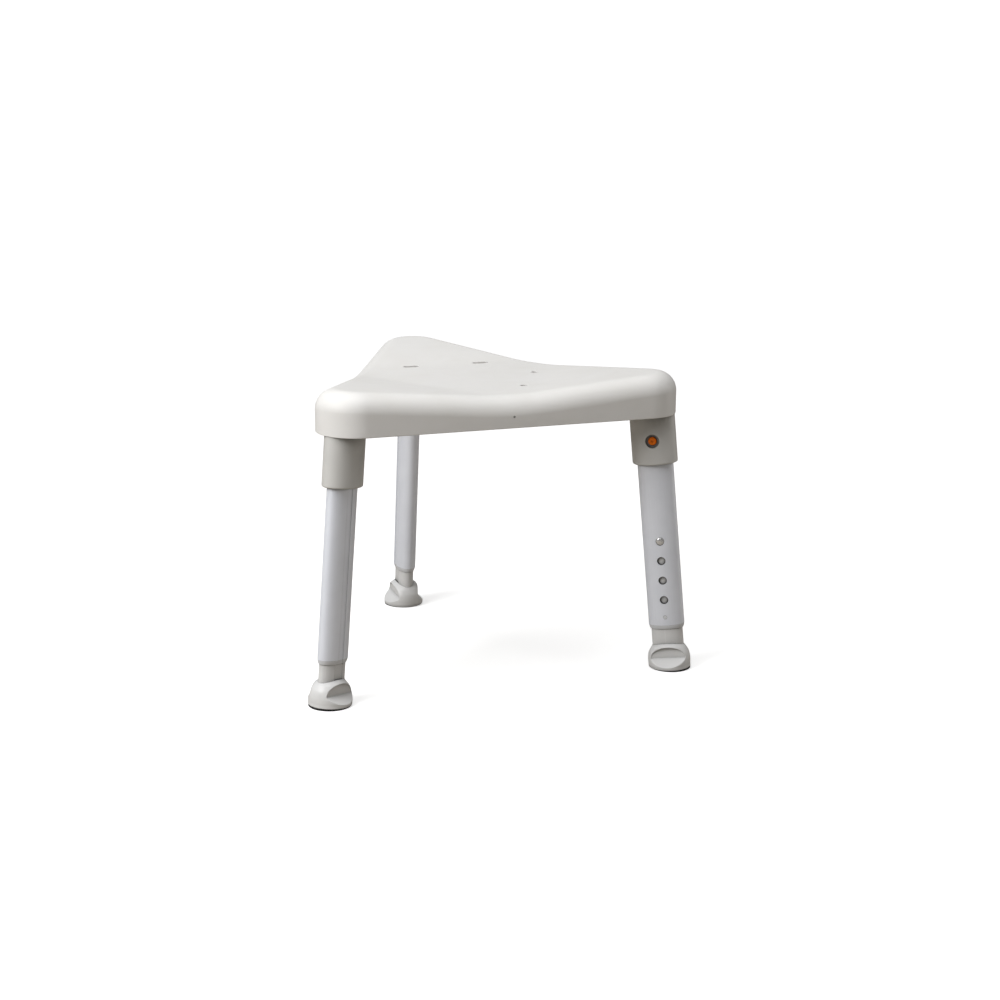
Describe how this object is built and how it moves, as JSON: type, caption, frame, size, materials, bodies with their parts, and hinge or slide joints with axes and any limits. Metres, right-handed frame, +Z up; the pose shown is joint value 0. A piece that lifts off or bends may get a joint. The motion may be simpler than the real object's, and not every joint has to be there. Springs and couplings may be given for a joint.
{
  "type": "shower stool",
  "caption": "Low stool with a rounded triangular dished seat on splayed oval legs with push-button height setting and leg release.",
  "frame": {"origin": "on the floor under the middle of the seat, in the plane of the three soles", "axes": "+Z up along the seat's axis, +Y to the back leg, +X to the right-hand side seen from the front"},
  "size_m": [0.5692, 0.5013, 0.4299],
  "materials": {
    "seat_plastic": "satin moulded polypropylene",
    "socket_plastic": "fine satin moulding",
    "grey_plastic": "plain moulding",
    "anodised_aluminium": "satin anodised",
    "silver_plastic": "plain moulding",
    "leg_plastic": "fine satin moulding",
    "orange_plastic": "satin moulding",
    "spring_steel": "bright rolled strip",
    "screw_steel": "stainless",
    "button_steel": "polished stainless",
    "black_rubber": "matt"
  },
  "bodies": {
    "seat": {"seat_shell": "seat_plastic", "socket_screws": "screw_steel", "left_socket": "socket_plastic", "right_socket": "socket_plastic", "back_socket": "socket_plastic"},
    "left_leg": {"left_leg_tube": "anodised_aluminium", "left_tube_cap": "grey_plastic", "left_release_spring": "spring_steel", "left_guide_bush": "silver_plastic"},
    "left_release": {"left_release_button": "orange_plastic"},
    "left_extension": {"left_inner_leg": "leg_plastic", "left_snap_spring": "spring_steel", "left_foot": "leg_plastic", "left_foot_sole": "black_rubber"},
    "left_snap": {"left_snap_button": "button_steel"},
    "right_leg": {"right_leg_tube": "anodised_aluminium", "right_tube_cap": "grey_plastic", "right_release_spring": "spring_steel", "right_guide_bush": "silver_plastic"},
    "right_release": {"right_release_button": "orange_plastic"},
    "right_extension": {"right_inner_leg": "leg_plastic", "right_snap_spring": "spring_steel", "right_foot": "leg_plastic", "right_foot_sole": "black_rubber"},
    "right_snap": {"right_snap_button": "button_steel"},
    "back_leg": {"back_leg_tube": "anodised_aluminium", "back_tube_cap": "grey_plastic", "back_release_spring": "spring_steel", "back_guide_bush": "silver_plastic"},
    "back_release": {"back_release_button": "orange_plastic"},
    "back_extension": {"back_inner_leg": "leg_plastic", "back_snap_spring": "spring_steel", "back_foot": "leg_plastic", "back_foot_sole": "black_rubber"},
    "back_snap": {"back_snap_button": "button_steel"}
  },
  "joints": [
    {"name": "left_leg_removal", "type": "slide", "parent": "seat", "child": "left_leg", "axis": [-0.081, -0.0468, -0.9956], "range_m": [0, 0.086], "deforming": ["left_release_button"]},
    {"name": "left_release_press", "type": "slide", "parent": "left_leg", "child": "left_release", "axis": [0.5, -0.866, 0], "range_m": [0, 0.006], "stiffness_N_per_m": 700, "springref_m": -0.003, "deforming": ["left_release_spring"]},
    {"name": "left_height", "type": "slide", "parent": "left_leg", "child": "left_extension", "axis": [-0.081, -0.0468, -0.9956], "range_m": [0, 0.0861], "deforming": ["left_snap_button"]},
    {"name": "left_snap_press", "type": "slide", "parent": "left_extension", "child": "left_snap", "axis": [0.5, -0.866, 0], "range_m": [0, 0.003], "stiffness_N_per_m": 1000, "springref_m": -0.003, "deforming": ["left_snap_spring"]},
    {"name": "right_leg_removal", "type": "slide", "parent": "seat", "child": "right_leg", "axis": [0.081, -0.0468, -0.9956], "range_m": [0, 0.086], "deforming": ["right_release_button"]},
    {"name": "right_release_press", "type": "slide", "parent": "right_leg", "child": "right_release", "axis": [0.5, 0.866, 0], "range_m": [0, 0.006], "stiffness_N_per_m": 700, "springref_m": -0.003, "deforming": ["right_release_spring"]},
    {"name": "right_height", "type": "slide", "parent": "right_leg", "child": "right_extension", "axis": [0.081, -0.0468, -0.9956], "range_m": [0, 0.0861], "deforming": ["right_snap_button"]},
    {"name": "right_snap_press", "type": "slide", "parent": "right_extension", "child": "right_snap", "axis": [0.5, 0.866, 0], "range_m": [0, 0.003], "stiffness_N_per_m": 1000, "springref_m": -0.003, "deforming": ["right_snap_spring"]},
    {"name": "back_leg_removal", "type": "slide", "parent": "seat", "child": "back_leg", "axis": [0, 0.0936, -0.9956], "range_m": [0, 0.086], "deforming": ["back_release_button"]},
    {"name": "back_release_press", "type": "slide", "parent": "back_leg", "child": "back_release", "axis": [-1, 0, 0], "range_m": [0, 0.006], "stiffness_N_per_m": 700, "springref_m": -0.003, "deforming": ["back_release_spring"]},
    {"name": "back_height", "type": "slide", "parent": "back_leg", "child": "back_extension", "axis": [0, 0.0936, -0.9956], "range_m": [0, 0.0861], "deforming": ["back_snap_button"]},
    {"name": "back_snap_press", "type": "slide", "parent": "back_extension", "child": "back_snap", "axis": [-1, 0, 0], "range_m": [0, 0.003], "stiffness_N_per_m": 1000, "springref_m": -0.003, "deforming": ["back_snap_spring"]}
  ]
}
